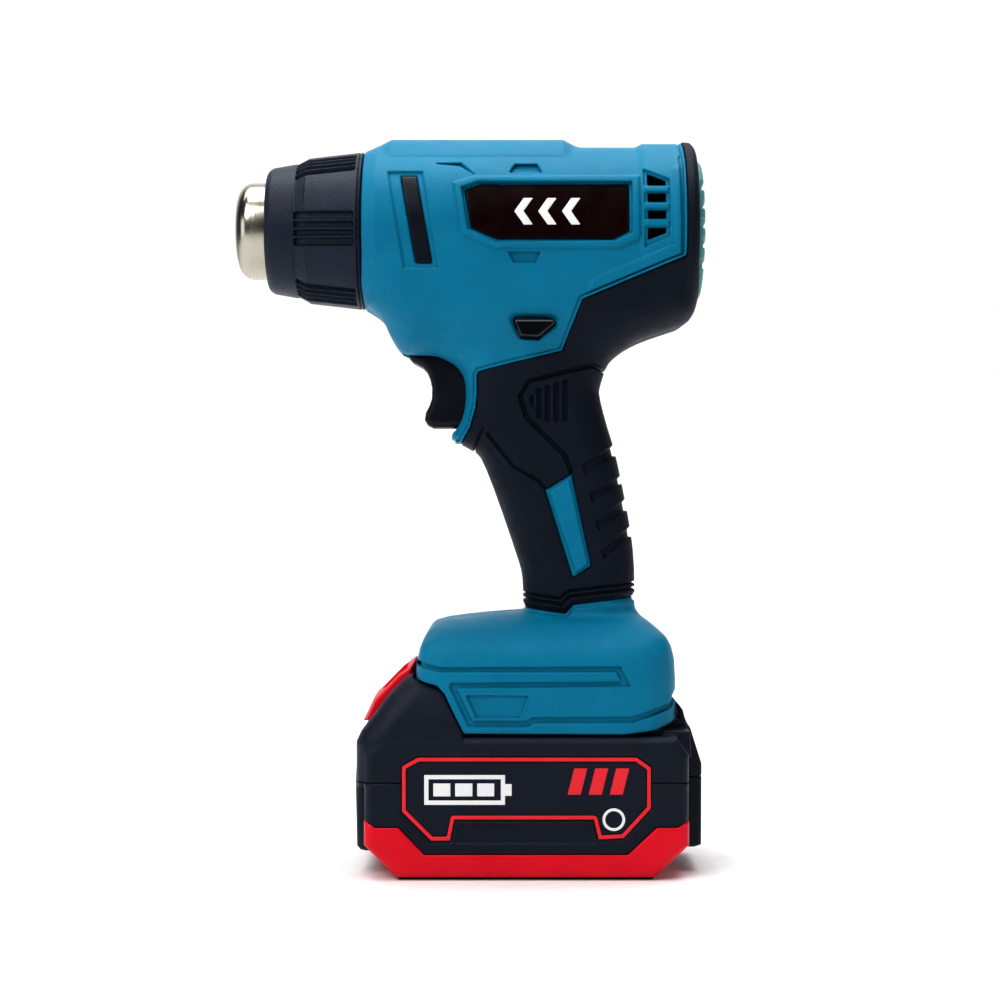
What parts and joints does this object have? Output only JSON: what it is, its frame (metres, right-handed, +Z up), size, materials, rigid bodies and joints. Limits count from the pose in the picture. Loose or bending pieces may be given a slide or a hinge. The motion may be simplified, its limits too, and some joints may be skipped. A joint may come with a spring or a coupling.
{
  "type": "cordless heat gun",
  "caption": "Pistol-grip cordless heat gun with blower, heater tube in a twist-off shield, finger trigger, lock button and slide-on battery pack.",
  "frame": {"origin": "middle of the battery pack's flat underside, on the surface the tool stands on, in the plane where the two housing halves meet", "axes": "+Z up, along the tool's height; the hot-air outlet points along -X; -Y is the user's left"},
  "size_m": [0.1626, 0.0748, 0.2525],
  "materials": {
    "housing": "moulded polyamide, satin, fine spark texture",
    "grip": "soft overmoulded grip rubber, matt",
    "plate": "dark satin trim plate",
    "shield": "glass-filled heat-resistant plastic, matt",
    "tube_steel": "stainless tube, lightly polished",
    "steel": "plain steel",
    "winding": "nickel-chrome resistance wire",
    "brass": "plain brass",
    "mica": "pressed mica",
    "black_plastic": "moulded black plastic",
    "gloss_black": "polished black plastic",
    "cap": "pale teal moulded plastic",
    "pack_case": "moulded black plastic, fine texture",
    "red": "moulded red plastic, satin",
    "board": "green circuit board",
    "cell_wrap": "shrink-wrapped cell"
  },
  "bodies": {
    "housing": {"housing_left": "housing", "housing_right": "housing", "grip_skin_left": "grip", "grip_skin_right": "grip", "name_plate_left": "plate", "name_plate_right": "plate", "side_inlay_left": "grip", "side_inlay_right": "grip", "nozzle": "tube_steel", "mica_sleeve": "mica", "heater_core": "mica", "heater_winding": "winding", "thermal_cutout": "brass", "air_guide": "black_plastic", "motor_can": "steel", "motor_mount": "black_plastic", "rear_cap": "cap", "trigger_switch": "black_plastic", "control_board": "board", "terminal_block": "black_plastic", "contact_positive": "brass", "contact_negative": "brass", "housing_screw_1": "steel", "housing_screw_2": "steel", "housing_screw_3": "steel", "housing_screw_4": "steel", "housing_screw_5": "steel", "housing_screw_6": "steel", "housing_screw_7": "steel"},
    "battery": {"pack_case_upper": "pack_case", "pack_case_lower": "pack_case", "pack_bumper": "red", "pack_label_left": "plate", "pack_label_right": "plate", "cell_holder": "black_plastic", "pack_board": "board", "pack_socket_positive": "brass", "pack_socket_negative": "brass", "button_spring": "steel", "cell_1": "cell_wrap", "cell_2": "cell_wrap", "cell_3": "cell_wrap", "cell_4": "cell_wrap", "cell_5": "cell_wrap", "cell_6": "cell_wrap", "cell_7": "cell_wrap", "cell_8": "cell_wrap", "cell_9": "cell_wrap", "cell_10": "cell_wrap", "pack_screw_1": "steel", "pack_screw_2": "steel", "pack_screw_3": "steel", "pack_screw_4": "steel"},
    "release": {"release_button": "red"},
    "trigger": {"trigger": "black_plastic", "trigger_spring": "steel"},
    "lock": {"lock_button": "gloss_black"},
    "shield": {"heat_shield": "shield"},
    "fan": {"fan_impeller": "black_plastic", "motor_shaft": "steel"}
  },
  "joints": [
    {"name": "trigger_pull", "type": "slide", "parent": "housing", "child": "trigger", "axis": [1, 0, 0], "range_m": [0, 0.006], "stiffness_N_per_m": 800, "springref_m": -0.005, "deforming": ["trigger_spring"]},
    {"name": "lock_push", "type": "slide", "parent": "housing", "child": "lock", "axis": [0, 1, 0], "range_m": [0, 0.004]},
    {"name": "shield_turn", "type": "hinge", "parent": "housing", "child": "shield", "pos_m": [-0.07, 0, 0.2205], "axis": [1, 0, 0], "range_deg": [0, 40]},
    {"name": "fan_spin", "type": "hinge", "parent": "housing", "child": "fan", "pos_m": [0, 0, 0.2205], "axis": [1, 0, 0], "continuous": true},
    {"name": "battery_slide", "type": "slide", "parent": "housing", "child": "battery", "axis": [-1, 0, 0], "range_m": [0, 0.1]},
    {"name": "release_press", "type": "slide", "parent": "battery", "child": "release", "axis": [0, 0, -1], "range_m": [0, 0.004], "stiffness_N_per_m": 900, "springref_m": -0.004, "deforming": ["button_spring"]}
  ]
}
